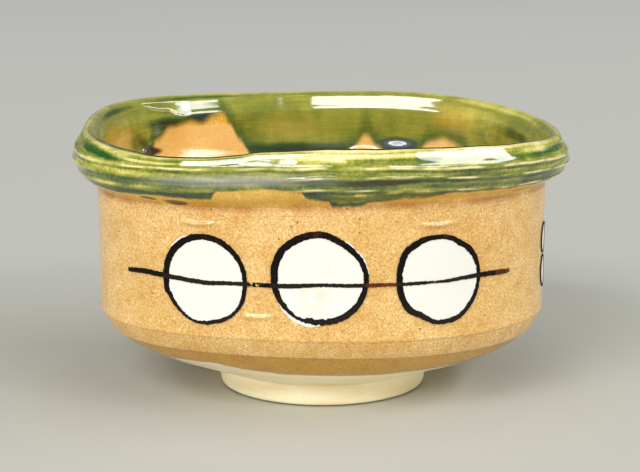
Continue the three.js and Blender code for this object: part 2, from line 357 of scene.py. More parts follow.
# The rim is thrown with three crests, as [level, size], each at a height that wanders round the bowl, as
# [turn, height]. Shapes and colours follow the level, on which a crest lies at the same place all round.
CRESTS = [(63.2, 0.5), (66.2, 0.5), (68.8, 0.16)]
TOP_CREST = CRESTS[-1][0]
CREST_HEIGHTS = [
    [
        (0, 63), (200, 63.6), (250, 64), (267, 63.4), (283, 62.6), (300, 62.2), (317, 61.7), (340, 62.2),
        (360, 63),
    ],
    [
        (0, 66), (180, 66.5), (227, 67.5), (250, 67.1), (267, 66.2), (283, 65.6), (317, 65.1), (340, 65.5),
        (360, 66),
    ],
    [
        (0, 68.6), (200, 69.4), (227, 70.1), (237, 70.05), (251, 69.7), (267, 68.75), (283, 67.85),
        (300, 67.5), (317, 67.75), (335, 68.3), (360, 68.6),
    ],
]
CREST_WANDER = 0.2
CREST_WIDTH = 0.5
CRESTS_START = (59.5, 61.5)
LEVEL_STARTS = 58
# How strong the two lower crests and the upper one are round the bowl, as [turn, share]
LOWER_CRESTS = [(0, 1), (150, 0.6), (200, 0.5), (220, 0.06), (256, 0.1), (270, 0.9), (300, 1), (360, 1)]
UPPER_CREST = [(0, 1), (200, 0.6), (215, 0.2), (262, 0.2), (275, 0.8), (283, 1), (360, 1)]
UPPER_CREST_STARTS = 67.6
# The rim coat is outside at radii past the lip's middle and below the inner side's foot
LIP_RADIUS = 57
INNER_SIDE_ENDS = 62
# Above the upper crest an even bevel leads to the lip, below it the rim stands nearly upright. The lists
# give, by turn, the radius of the bevel's top, the radius gained on each millimetre down, how much that
# grows on each millimetre, and how much the lip stands above its mean height.
BEVEL_TOP = 71.93
BEVEL_TOP_RADIUS = 58.1
BEVEL_FOOT_SLOPE = 0.2
BEVEL_FOOT = 0.7
UPRIGHT_FOOT = (60.15, 66.6)
LIP_MOVES_FROM = 56.8
BEVEL_RADII = [
    (0, 58.1), (180, 58), (208, 58.1), (222, 58.7), (242, 58.7), (260, 58.2), (300, 58.1),
    (316, 57.6), (330, 58.1), (360, 58.1),
]
BEVEL_SLOPES = [
    (0, 0.55), (218, 0.6), (226, 0.575), (234, 0.532), (246, 0.522), (258, 0.527), (270, 0.536),
    (286, 0.547), (296, 0.571), (304, 0.613), (310, 0.67), (316, 0.76), (326, 0.6), (360, 0.55),
]
BEVEL_CURVES = [(0, 0.03), (205, 0.03), (222, 0.07), (256, 0.07), (280, 0.03), (360, 0.03)]
# How far below the bevel's top the slope has its listed value
SLOPE_AS_LISTED = 2.1
LIP_LIFTS = [
    (0, 0.3), (20, 0), (165, 0), (182, 0.4), (196, 1.1), (206, 1.3), (216, 0.8), (228, 0.1),
    (240, 0.1), (247, 0.4), (253, 0.95), (262, 0.65), (270, 0.45), (278, 0), (286, -0.4),
    (302, -0.4), (316, 0), (334, 0.6), (348, 0.5), (360, 0.3),
]
INSIDE_LIFT = (64.5, 71)
# On the front, a groove along the lip with a ridge behind it, as [radius, half width, height]
LIP_GROOVE = (56.9, 0.35, -0.3)
LIP_RIDGE = (56.1, 0.4, 0.22)
LIP_TOP_STARTS = 71.9
# The inner side of the rim, from this height up. Turns and heights are given as spans in which a form
# comes in and spans in which it goes out again: a thin ridge of glaze at the left end, the bevel bent in
# at the back, the left end's wider lip, and the bevel lying higher at the right of the back.
INNER_SIDE_STARTS = 64
INNER_RIDGE = [(134, 66.6), (139, 68.6), (146, 70), (154.8, 70.6)]
INNER_RIDGE_TURNS = ((131, 137), (155, 161))
INNER_RIDGE_STANDS = 0.3
INNER_RIDGE_WIDTH = 0.4
INNER_BEND = 0.35
INNER_BEND_TURNS = ((91, 104), (112, 150))
INNER_BEND_HEIGHTS = ((64.4, 66.5), (71, 72.3))
LEFT_LIP_WIDER = 1.1
LEFT_LIP_TURNS = ((165, 190), (212, 232))
LEFT_LIP_HEIGHTS = (64.4, 69)
LEFT_LIP_RADII = (57, 55.4)
INNER_BEVEL_LIFT = 0.9
LIFTED_TURNS = ((5, 25), (112, 145))
LIFTED_HEIGHTS = ((65, 67), (70.5, 72.2))
# Small swellings of the glaze that catch the light: ridges across the wall outside as [turn, height, half
# turn], and places inside that lean back, as [turn, height, half turn, half height, slope]
WALL_RIDGES = [(235.5, 53.7, 7), (303.5, 52.9, 8), (251.2, 29.8, 6)]
RIDGE_STANDS = 0.6
RIDGE_WIDTH = 0.6
RIDGE_SAG = 0.1
INSIDE_LEANS = [(133, 57, 7, 1.5, 0.05), (64.5, 58.7, 3, 1.1, 0.22), (75.5, 57.2, 4, 1.2, 0.16)]
# A droplet of glaze that hangs inside the left end
INSIDE_DROPLET = (147.5, 58.6, 2.2, 1.2)
DROPLET_STANDS = 0.9
# The neck under the rim, where the iron in the glaze turned rusty
RUST_STARTS = 56.6
RUST_FULL = 58.4
RUST_ENDS = 60.2
# Where the glaze ends above the foot, higher on the left, as [turn, height]
GLAZE_ENDS = [
    (0, 12.5), (160, 13), (213, 13.6), (227, 14.4), (234, 14.7), (239, 13.7), (243, 13),
    (250, 12.6), (255, 12.1), (292, 12.2), (303, 12.8), (320, 12.9), (360, 12.5),
]
# The lower edge of the green outside and inside, as [turn, height]
OUTER_EDGE = [
    (0, 61.4), (20, 62), (34, 58.6), (40, 58.4), (48, 62), (70, 61.5), (84, 58.8), (92, 59),
    (98, 62.4), (124, 61.6), (133, 58.2), (140, 60.5), (160, 62), (176, 59.5), (194, 58.8),
    (204, 61.5), (215, 61.4), (226, 62), (238, 61.3), (240.5, 61.6), (242.8, 63.8), (255, 64.1),
    (264, 63.2), (266, 61), (271.5, 60.2), (273, 58.5), (281, 58.4), (283, 59.3), (292, 60.1),
    (300, 60.2), (305, 61.2), (317, 61.1), (330, 61.3), (345, 61.9), (360, 61.4),
]
INNER_EDGE = [
    (0, 56), (30, 54), (41, 55), (43.5, 59), (50, 60.6), (54, 59.6), (59, 55.5), (67, 55),
    (70.5, 57.4), (75, 60.5), (79.5, 57), (86, 53), (96, 50), (107, 52), (114, 54.5), (117.8, 59.7),
    (120.2, 64), (122.5, 66.8), (124.8, 66.3), (129, 64.6), (132, 65.2), (138, 64), (142.5, 61),
    (146, 57), (149, 52), (162, 48), (176, 56), (190, 47), (215, 52), (240, 60), (262, 50),
    (285, 44), (310, 58), (335, 49), (360, 56),
]
# Spots where the green lies thicker or, below 0, thinner, as [turn, height, half turn, half height, amount],
# and between which shares of their half sizes they fade
SPOT_FADES = (0.2, 1.3)
OUTER_SPOTS = [
    # The thick spot below the middle crest at turn 284 is a painted dark reflection
    (298, 70, 5, 0.7, 0.2), (284, 64.3, 14, 1, 0.25), (268, 65.2, 5, 0.9, 0.1),
    # The thin spot at turn 208 lightens the shaded underside of the rim's left end: painted light
    (322, 63.6, 16, 1.2, -0.1), (208, 63, 20, 1.5, -0.3), (202, 66.5, 6, 1.4, -0.35),
    (214, 64.4, 6, 0.9, -0.35), (224, 64.8, 5, 0.8, -0.2), (196, 72.2, 18, 1.8, 0.2),
    (252, 71.2, 15, 1.3, 0.22), (281, 70.4, 8, 1, -0.14), (222, 68.2, 14, 1.3, -0.15),
    (280, 61.6, 2, 0.6, -0.4), (289, 61.9, 2.6, 0.6, -0.5), (297, 61.8, 4, 0.6, -0.4),
    (248, 65.3, 16, 1.6, -0.12), (160, 70, 9, 1.6, 0.45), (40, 66, 12, 2.5, 0.3),
    (95, 64, 14, 2, 0.35), (120, 70, 10, 1.5, -0.2), (330, 62, 22, 0.9, -0.2),
    (277, 59.6, 5, 1.2, -0.15),
]
INNER_SPOTS = [
    (128, 65.9, 5, 1, 0.55), (98, 57, 20, 2, 0.52), (64.5, 58.6, 6, 1.5, 1.1),
    (40, 67, 14, 3, -0.12), (112, 60, 4, 4, 0.12), (140, 65.4, 7, 1.6, 0.35),
    (22, 66, 10, 1.2, 0.25), (160, 71, 12, 0.8, 0.4), (128, 71.6, 16, 0.7, 0.25),
    (95, 72, 10, 0.5, 0.1), (30, 71.4, 22, 1.2, -0.25),
]
# Spots on the inside where the green is only a veil over the amber
INNER_VEILS = [(170, 63, 20, 6, 0.7), (47, 66, 9, 4, 0.3), (100, 63, 12, 3, 0.15)]
# Bright copper green where the glaze was wiped on twice, and a milky haze where it lay thickest. In places
# the haze is painted light: a painted reflection of the floor on the front left, and a painted highlight on
# the droplet inside.
OUTER_EMERALD = [
    (203, 72.3, 7, 1.2, 0.6), (209, 71.8, 7, 1.3, 1.1), (215, 71.3, 7, 1.1, 0.9),
    (247, 72.4, 5, 0.4, 0.6), (298, 70, 6, 1, 0.6), (320, 69.3, 9, 0.9, 0.75),
    (332, 70.1, 10, 1, 0.9), (342, 71, 9, 1.2, 1), (256, 65.2, 8, 0.8, 0.5),
    (290, 66.6, 8, 0.7, 0.3),
]
INNER_EMERALD = [(128, 71.7, 20, 0.7, 0.4), (108, 67.5, 12, 2.4, 0.4), (98, 71.8, 14, 0.6, 0.4)]
# The two wide haze spots below the top crest on the front left, at turns 246 and 262, are a painted
# reflection of the floor
OUTER_HAZE_AND_REFLECTION = [
    (246, 66.8, 22, 1.9, 0.7), (262, 65.6, 12, 1.2, 0.3), (318, 64.2, 10, 1, 0.08),
    (272, 65.4, 6, 1, 0.15), (190, 71.5, 12, 1.2, 0.1), (200, 66, 6, 2, 0.15),
]
# The small haze spot at turn 147.3, on the droplet inside the left end, is a painted highlight
INNER_HAZE_AND_HIGHLIGHT = [
    (147.3, 58.8, 1.7, 0.9, 1.2), (186, 70.4, 18, 1.6, 0.75), (88, 58, 8, 0.8, 0.16),
    (64.5, 58.6, 6, 1.5, 0.4),
]
# Small dark drips, brown-green where the copper and the iron of the clay ran together. Outside, the wide one
# below the middle crest at turn 284 is a painted dark reflection, not a drip.
OUTER_DRIPS_AND_DARK_REFLECTION = [
    (224, 60.7, 2.6, 0.8, 1.1), (230.5, 59.8, 3.6, 1.1, 1.2), (273.3, 59.5, 0.8, 0.8, 0.8),
    (279, 59.2, 2, 0.6, 0.5), (330, 60, 6, 0.7, 0.5), (304, 60.4, 3, 1, 0.3),
    (284, 64.4, 14, 0.9, 0.75), (296, 64.8, 6, 0.8, 0.3),
]
INNER_DRIPS = [
    (151, 61.8, 5, 4, 0.45), (146.5, 60, 3, 3, 0.45), (144.5, 58.2, 4, 1.3, 0.9), (139, 65.6, 4, 0.7, 0.5),
    (156, 59, 2, 2, 0.4),
]
# The glaze drew thin over the lip: how much and how far each way, as [turn, amount] and [turn, width]
LIP_STARTS = 70
LIP_PALE_RADIUS = 57.5
LIP_PALES = [
    (0, 0.35), (60, 0.26), (150, 0.2), (190, 0.25), (225, 0.38), (250, 0.38), (262, 0.45),
    (272, 0.6), (300, 0.6), (330, 0.35), (360, 0.3),
]
LIP_PALE_WIDTHS = [(0, 0.9), (212, 0.9), (228, 0.5), (262, 0.55), (272, 0.95), (360, 0.9)]
# A thin line of painted shade along the inner edge of the front lip
LIP_SHADE_LINE_RADIUS = 56.5
LIP_SHADE_LINE_WIDTH = 0.5
LIP_SHADE_LINE_STRENGTH = 1.2
# Wider places where the green is a little thicker or thinner, each with the span in which it comes in
BEVEL_THICKER = 0.12
BEVEL_THICKENS = (TOP_CREST + 0.3, TOP_CREST + 1.3)
INSIDE_THICKER = 0.12
INSIDE_THICKENS = (LIP_RADIUS, LIP_RADIUS - 1.5)
UPPER_INSIDE_PALE = 0.04
UPPER_INSIDE_PALES = (65, 67.5)
# Inside, the green ran smoother than outside
INSIDE_SOFTNESS = 3
NOTE_NAMES = (
    "green_depth", "pooling", "rim_height", "crests", "veil", "softness", "emerald", "haze_and_reflection", "drip_and_painted_dark", "bare",
)


def turn_of(angle):
    return math.degrees(angle) % 360


def follow(points, place):
    for (start, low), (end, high) in zip(points, points[1:]):
        if place <= end:
            return low + (high - low) * smooth_step(start, end, place)
    return points[-1][1]


def hump(value, middle, width):
    """1 at the middle, falling off smoothly to nearly 0 at twice the width from it."""
    return math.exp(-((value - middle) / width) ** 2)


def reach_from(turn, height, at_turn, at_height, half_turn, half_height):
    apart = (turn - at_turn + 180) % 360 - 180
    return math.hypot(apart / half_turn, (height - at_height) / half_height)


def spots_at(spots, turn, height):
    total = 0
    for *spot, amount in spots:
        total += amount * (1 - smooth_step(*SPOT_FADES, reach_from(turn, height, *spot)))
    return total


def frontness(turn):
    """1 at the middle of the front, 0 at the middle of the back."""
    return 0.5 - 0.5 * math.sin(math.radians(turn))


@functools.lru_cache(maxsize=None)
def rim_at(turn):
    """What the lists say of the rim at a turn: the crests' heights, the lip's lift, and the bevel's top
    radius, slope and curve."""
    angle = math.radians(turn)
    wander = CREST_WANDER * noise.noise((2 * math.cos(angle), 2 * math.sin(angle), 7))
    crests = [follow(crest, turn) + wander for crest in CREST_HEIGHTS]
    return crests, *[follow(points, turn) for points in (LIP_LIFTS, BEVEL_RADII, BEVEL_SLOPES, BEVEL_CURVES)]


def rim_round(angle):
    return rim_at(round(turn_of(angle), 2))


def on_outer_side(radius, height):
    return radius > LIP_RADIUS or height < INNER_SIDE_ENDS


def raised(radius, angle, height):
    """The height with the lip's lift, which the rim below it takes up evenly."""
    lift = rim_round(angle)[1]
    if on_outer_side(radius, height):
        return height + lift * min(1, max(0, (height - UPRIGHT_FOOT[1]) / (BEVEL_TOP - UPRIGHT_FOOT[1])))
    return height + lift * smooth_step(*INSIDE_LIFT, height)


def level_at(angle, height):
    """The height measured by the crests, which wander round the rim."""
    crests, lift = rim_round(angle)[:2]
    heights = [LEVEL_STARTS, *crests, RIM_WAVE_FULL + lift]
    levels = [LEVEL_STARTS, *[at for at, _ in CRESTS], RIM_WAVE_FULL]
    for low, high, low_level, high_level in zip(heights, heights[1:], levels, levels[1:]):
        if low <= height <= high:
            return low_level + (high_level - low_level) * (height - low) / (high - low)
    return height


def bevelled(angle, height):
    """The rim's radius between its upright foot and the top of its bevel."""
    crests, lift, top_radius, slope, curve = rim_round(angle)
    edge = crests[-1]
    bevel_foot = edge + BEVEL_FOOT
    down = BEVEL_TOP + lift - max(height, bevel_foot)
    radius = top_radius + down * (slope + curve * (down / 2 - SLOPE_AS_LISTED))
    radius += BEVEL_FOOT_SLOPE * max(0, bevel_foot - max(height, edge))
    if height >= edge:
        return radius
    return radius + (UPRIGHT_FOOT[0] - radius) * (edge - height) / (edge - UPRIGHT_FOOT[1])


def outer_rim(radius, angle, height):
    """The outer side of the rim with its lift, bevel and crests."""
    turn = turn_of(angle)
    in_bevel = UPRIGHT_FOOT[1] < height < BEVEL_TOP
    crests_show = smooth_step(*CRESTS_START, height)
    height = raised(radius, angle, height)
    level = level_at(angle, height)
    if in_bevel:
        radius = bevelled(angle, height)
    elif height > BEVEL_TOP:
        moved = rim_round(angle)[2] - BEVEL_TOP_RADIUS
        radius += moved * smooth_step(LIP_MOVES_FROM, BEVEL_TOP_RADIUS, radius)
    for at, size in CRESTS:
        share = follow(UPPER_CREST if at == TOP_CREST else LOWER_CRESTS, turn)
        radius += crests_show * share * size * hump(level, at, CREST_WIDTH)
    return radius, height


def inner_rim(radius, angle, height):
    """The inner side of the rim, which differs from place to place round the bowl."""
    turn = turn_of(angle)
    ridge = hump(height, follow(INNER_RIDGE, turn), INNER_RIDGE_WIDTH)
    radius -= INNER_RIDGE_STANDS * swell(*INNER_RIDGE_TURNS, turn) * ridge
    radius -= INNER_BEND * swell(*INNER_BEND_HEIGHTS, height) * swell(*INNER_BEND_TURNS, turn)
    wider = smooth_step(*LEFT_LIP_HEIGHTS, height) * smooth_step(*LEFT_LIP_RADII, radius)
    radius -= LEFT_LIP_WIDER * swell(*LEFT_LIP_TURNS, turn) * wider
    height = raised(radius, angle, height)
    height += INNER_BEVEL_LIFT * swell(*LIFTED_TURNS, turn) * swell(*LIFTED_HEIGHTS, height)
    return radius, height


def rim_shape(radius, angle, height):
    if height > LIP_TOP_STARTS:
        for at_radius, half_width, size in (LIP_GROOVE, LIP_RIDGE):
            height += size * frontness(turn_of(angle)) ** 2 * hump(radius, at_radius, half_width)
    if on_outer_side(radius, height):
        radius, height = outer_rim(radius, angle, height)
    elif height > INNER_SIDE_STARTS:
        radius, height = inner_rim(radius, angle, height)
    return press(radius, angle, height)


def wall_shape(radius, angle, height):
    turn = turn_of(angle)
    for at_turn, at_height, half_turn in WALL_RIDGES:
        away = abs(turn - at_turn)
        along = 1 - smooth_step(0.3, 1, away / half_turn)
        radius += RIDGE_STANDS * along * hump(height, at_height + RIDGE_SAG * away, RIDGE_WIDTH)
    return press(radius, angle, height)


def inside_shape(radius, angle, height):
    turn = turn_of(angle)
    for *spot, slope in INSIDE_LEANS:
        fades = smooth_step(0.8, 1.5, reach_from(turn, height, *spot))
        radius += slope * (height - spot[1]) * (1 - fades)
    radius -= DROPLET_STANDS * (1 - smooth_step(0, 1, reach_from(turn, height, *INSIDE_DROPLET)))
    return press(radius, angle, height)


def lip_notes(radius, turn, height):
    """How much thinner the glaze drew over the lip, and the painted shade line at its inner edge."""
    if height <= LIP_STARTS:
        return 0, 0
    thinner = follow(LIP_PALES, turn) * hump(radius, LIP_PALE_RADIUS, follow(LIP_PALE_WIDTHS, turn))
    # The line at the lip's inner edge is painted shade, on the front only
    line = LIP_SHADE_LINE_STRENGTH * frontness(turn) ** 2 * hump(radius, LIP_SHADE_LINE_RADIUS, LIP_SHADE_LINE_WIDTH)
    return thinner, line


def outer_notes(radius, angle, height):
    turn = turn_of(angle)
    below_glaze = follow(GLAZE_ENDS, turn) - height
    if height < RUST_STARTS:
        return height - RUST_STARTS, 0, height, 0, 1, 1, 0, 0, 0, below_glaze
    thinner, line = lip_notes(radius, turn, height)
    level = level_at(angle, height)
    on_bevel = smooth_step(*BEVEL_THICKENS, level)
    return (
        height - follow(OUTER_EDGE, turn),
        spots_at(OUTER_SPOTS, turn, height) - thinner + BEVEL_THICKER * on_bevel,
        level,
        1 if level > UPPER_CREST_STARTS else follow(LOWER_CRESTS, turn),
        1,
        1,
        spots_at(OUTER_EMERALD, turn, height),
        spots_at(OUTER_HAZE_AND_REFLECTION, turn, height),
        spots_at(OUTER_DRIPS_AND_DARK_REFLECTION, turn, height) + line,
        below_glaze,
    )


def inner_notes(radius, angle, height):
    turn = turn_of(angle)
    thinner, line = lip_notes(radius, turn, height)
    thinner += UPPER_INSIDE_PALE * smooth_step(*UPPER_INSIDE_PALES, height)
    past_lip = smooth_step(*INSIDE_THICKENS, radius)
    return (
        height - follow(INNER_EDGE, turn),
        spots_at(INNER_SPOTS, turn, height) - thinner + INSIDE_THICKER * past_lip,
        RIM_WAVE_FULL,
        0,
        1 - spots_at(INNER_VEILS, turn, height),
        INSIDE_SOFTNESS,
        spots_at(INNER_EMERALD, turn, height),
        spots_at(INNER_HAZE_AND_HIGHLIGHT, turn, height),
        spots_at(INNER_DRIPS, turn, height) + line,
        -1,
    )


def rim_notes(radius, angle, height):
    side = outer_notes if on_outer_side(radius, height) else inner_notes
    return side(radius, angle, raised(radius, angle, height))


# Thickness of the green and its colour, from a bare crest to a deep milky pool
DEEPEST = 1.7
GREEN_STOPS = [
    (0.0, srgb(232, 222, 168)), (0.18, srgb(218, 209, 134)), (0.34, srgb(192, 187, 88)),
    (0.52, srgb(146, 146, 56)), (0.72, srgb(102, 114, 42)), (0.9, srgb(62, 80, 34)),
    (1.2, srgb(34, 50, 32)), (DEEPEST, srgb(58, 86, 118)),
]
PALE_CREST = srgb(250, 232, 168)
EMERALD = srgb(22, 82, 12)
MILKY_AND_REFLECTED = srgb(160, 160, 164)
# The drip colour also paints the shade line at the front lip and a dark reflection below the middle crest
DRIP_AND_PAINTED_DARK = srgb(52, 44, 12)
CREST_STRENGTH = 0.8
HAZE_AND_REFLECTION_STRENGTH = 0.8
# Its thickness where nothing changes it, what its lower edge and the groove below each crest add, and
# what it gains from one level of the rim down to another
GREEN_BASE = 0.48
EDGE_POOL = 0.2
GROOVE_POOL = 0.15
GROOVE_BELOW = 0.8
LEVEL_POOLS = [(69.2, 68.2, 0.08), (66.6, 65.8, 0.14), (63.6, 62.8, 0.08)]
# Its unevenness, as [scale, detail, stretch, size, whether it is softer inside]
UNEVENNESS = [
    (50, 3, (1, 1, 2.5), 0.8, True), (240, 3, (1, 1, 0.35), 0.3, False), (280, 4, (0.45, 0.45, 4), 0.8, True),
    (1100, 2, (1, 1, 1), 0.45, True),
]

glaze, glaze_in, glaze_out = new_group(
    "green_over_amber",
    {
        "Place": "Vector", "Depth": "Float", "Softness": "Float", "Pooling": "Float", "Rim height": "Float",
        "Crests": "Float", "Veil": "Float", "Emerald": "Float", "Haze and reflection": "Float", "Drip and painted dark": "Float",
        "Amber": "Color",
    },
    {"Colour": "Color", "Cover": "Float"},
)


def swings(size, scale, detail, stretch=(1, 1, 1)):
    """A noise that swings either side of 0."""
    value = noise_at(glaze, glaze_in["Place"], scale, detail, stretch)
    return calculate(glaze, "MULTIPLY", calculate(glaze, "SUBTRACT", value, 0.5), size)


def softer(value):
    return calculate(glaze, "DIVIDE", value, glaze_in["Softness"])


rim_level = calculate(glaze, "ADD", glaze_in["Rim height"], swings(0.8, 90, 4))
ragged = swings(1.4, 260, 4)
patchy = swings(0.9, 300, 3)


def spotted(share, low, high):
    """A note's share, broken up by the glaze's own patches."""
    uneven = calculate(glaze, "ADD", share, calculate(glaze, "MULTIPLY", patchy, share))
    return between(glaze, uneven, low, high)


def apart(level):
    return calculate(glaze, "ABSOLUTE", calculate(glaze, "SUBTRACT", rim_level, level))


depth = softer(calculate(glaze, "ADD", glaze_in["Depth"], ragged))
cover = calculate(glaze, "MULTIPLY", between(glaze, depth, -0.45, 0.45), glaze_in["Veil"])
parts = [glaze_in["Pooling"], calculate(glaze, "MULTIPLY", between(glaze, depth, 2.2, 0.4), EDGE_POOL)]
for start, end, amount in LEVEL_POOLS:
    parts.append(calculate(glaze, "MULTIPLY", between(glaze, rim_level, start, end), amount))
for scale, detail, stretch, size, is_softer in UNEVENNESS:
    part = swings(size, scale, detail, stretch)
    parts.append(softer(part) if is_softer else part)
for at, _ in CRESTS:
    in_groove = between(glaze, apart(at - GROOVE_BELOW), 0.5, 0.1)
    parts.append(calculate(glaze, "MULTIPLY", in_groove, GROOVE_POOL))
thickness = GREEN_BASE
for part in parts:
    thickness = calculate(glaze, "ADD", part, thickness)
green_ramp = add_node(glaze, "ShaderNodeValToRGB", {0: calculate(glaze, "DIVIDE", thickness, DEEPEST)})
ramp_stops = green_ramp.color_ramp.elements
for index, (at, colour) in enumerate(GREEN_STOPS):
    stop = ramp_stops[index] if index < 2 else ramp_stops.new(at / DEEPEST)
    stop.position = at / DEEPEST
    stop.color = colour
crest_line = 0.0
for at, _ in CRESTS:
    crest_line = calculate(glaze, "MAXIMUM", between(glaze, apart(at), 0.42, 0.1), crest_line)
broken = between(glaze, noise_at(glaze, glaze_in["Place"], 110, 2), 0.36, 0.56)
crest_line = calculate(glaze, "MULTIPLY", crest_line, glaze_in["Crests"])
crest_line = calculate(glaze, "MULTIPLY", crest_line, calculate(glaze, "MULTIPLY", broken, CREST_STRENGTH))
green = mix_colours(glaze, spotted(glaze_in["Emerald"], 0.05, 1.15), green_ramp.outputs[0], EMERALD)
green = mix_colours(glaze, crest_line, green, PALE_CREST)
# The milky haze, in places a painted reflection and a painted highlight
green = mix_colours(glaze, calculate(glaze, "MULTIPLY", glaze_in["Haze and reflection"], HAZE_AND_REFLECTION_STRENGTH), green, MILKY_AND_REFLECTED)
coated = mix_colours(glaze, cover, glaze_in["Amber"], green)
# Drips, together with the painted shade line at the front lip and a painted dark reflection below the middle
# crest
dripped_and_darkened = mix_colours(glaze, spotted(glaze_in["Drip and painted dark"], 0.15, 0.8), coated, DRIP_AND_PAINTED_DARK)
glaze.links.new(dripped_and_darkened, glaze_out["Colour"])
glaze.links.new(cover, glaze_out["Cover"])

GLAZE_IOR = 1.7
RUST = srgb(180, 112, 14)
RUST_STRENGTH = 0.8
# Below the trimmed edge of the wall the amber is darker, partly where it lies thinner and partly as painted
# shade on the lower wall that faces down, and below its own end the clay is bare
TRIM_EDGE_HEIGHT = 18.65
TRIMMED_THIN_AND_SHADED_TONE = srgb(206, 157, 36)
BARE_CLAY = srgb(250, 238, 206)


def note(tree, name):
    return add_node(tree, "ShaderNodeAttribute", attribute_name=name).outputs["Fac"]


def glaze_material(name, amber_tone, amber_dark, sandiness, roughness, wet_roughness):
    """The amber glaze with its sand and rust, and the green over it, which is the smoother of the two."""
    material, tree, shader = new_material(name, roughness, IOR=GLAZE_IOR)
    place = object_place(tree)
    tone_share = between(tree, noise_at(tree, place, 45, 3), 0.35, 0.7)
    tone = mix_colours(tree, tone_share, amber_tone, amber_dark)
    at_height = note(tree, "rim_height")
    # Painted shade, with the thinner glaze, on the trimmed lower wall
    trimmed_and_shaded = between(tree, at_height, TRIM_EDGE_HEIGHT + 0.1, TRIM_EDGE_HEIGHT)
    tone = mix_colours(tree, trimmed_and_shaded, tone, TRIMMED_THIN_AND_SHADED_TONE)
    at_neck = calculate(tree, "MULTIPLY", between(tree, at_height, RUST_STARTS, RUST_FULL),
                        between(tree, at_height, RUST_ENDS, RUST_FULL))
    rusty = calculate(tree, "MULTIPLY", at_neck, between(tree, noise_at(tree, place, 90, 3), 0.3, 0.6))
    tone = mix_colours(tree, calculate(tree, "MULTIPLY", rusty, RUST_STRENGTH), tone, RUST)
    sandy = add_node(tree, "ShaderNodeGroup", node_tree=sand)
    tree.links.new(place, sandy.inputs["Place"])
    tree.links.new(tone, sandy.inputs["Colour"])
    sandy.inputs["Amount"].default_value = sandiness
    coat = add_node(tree, "ShaderNodeGroup", node_tree=glaze)
    for socket_name, value in (
        ("Place", place), ("Amber", sandy.outputs["Colour"]), ("Rim height", at_height),
        ("Depth", note(tree, "green_depth")), ("Pooling", note(tree, "pooling")),
        ("Crests", note(tree, "crests")), ("Veil", note(tree, "veil")), ("Softness", note(tree, "softness")),
        ("Emerald", note(tree, "emerald")), ("Haze and reflection", note(tree, "haze_and_reflection")), ("Drip and painted dark", note(tree, "drip_and_painted_dark")),
    ):
        tree.links.new(value, coat.inputs[socket_name])
    bare = between(tree, note(tree, "bare"), -0.1, 0.05)
    colour = mix_colours(tree, bare, coat.outputs["Colour"], BARE_CLAY)
    tree.links.new(colour, shader.inputs["Base Color"])
    sockets = {0: coat.outputs["Cover"], 3: roughness, 4: wet_roughness}
    tree.links.new(add_node(tree, "ShaderNodeMapRange", sockets).outputs[0], shader.inputs["Roughness"])
    bare_share = calculate(tree, "SUBTRACT", 1.0, coat.outputs["Cover"])
    bump_height = calculate(tree, "MULTIPLY", sandy.outputs["Height"], bare_share)
    bump = add_node(tree, "ShaderNodeBump", {"Strength": 0.3, "Distance": 0.00012, "Height": bump_height})
    tree.links.new(bump.outputs[0], shader.inputs["Normal"])
    return material


amber_glaze = glaze_material(
    "amber_glaze", srgb(231, 194, 127), srgb(222, 182, 110), sandiness=0.9, roughness=0.2, wet_roughness=0.1,
)
green_glaze = glaze_material(
    "green_glaze", srgb(240, 196, 92), srgb(226, 174, 60), sandiness=0.7, roughness=0.12, wet_roughness=0.05,
)
olive_glaze = glaze_material(
    "olive_glaze", srgb(246, 202, 126), srgb(232, 180, 96), sandiness=0.3, roughness=0.06, wet_roughness=0.05,
)


def coat_outline(run, thickness):
    return [*run, *reversed(under_coat(run, thickness)[1:-1:4])]


wall_mesh = thrown(coat_outline(wall_run, OUTSIDE_GLAZE), wall_shape, NOTE_NAMES, outer_notes)
mesh_piece("amber_wall_coat", wall_mesh, "outside_glaze", amber_glaze)
rim_mesh = thrown(coat_outline(rim_run, RIM_GLAZE), rim_shape, NOTE_NAMES, rim_notes)
mesh_piece("green_rim_coat", rim_mesh, "green_rim_glaze", green_glaze)
inside_seat = [*under_coat(inside_run, INSIDE_GLAZE)[1:-1:4], (0, INSIDE[-1][1] - INSIDE_GLAZE)]
inside_mesh = thrown([*reversed(inside_run), *inside_seat], inside_shape, NOTE_NAMES, inner_notes)
mesh_piece("inside_coat", inside_mesh, "inside_glaze", olive_glaze)

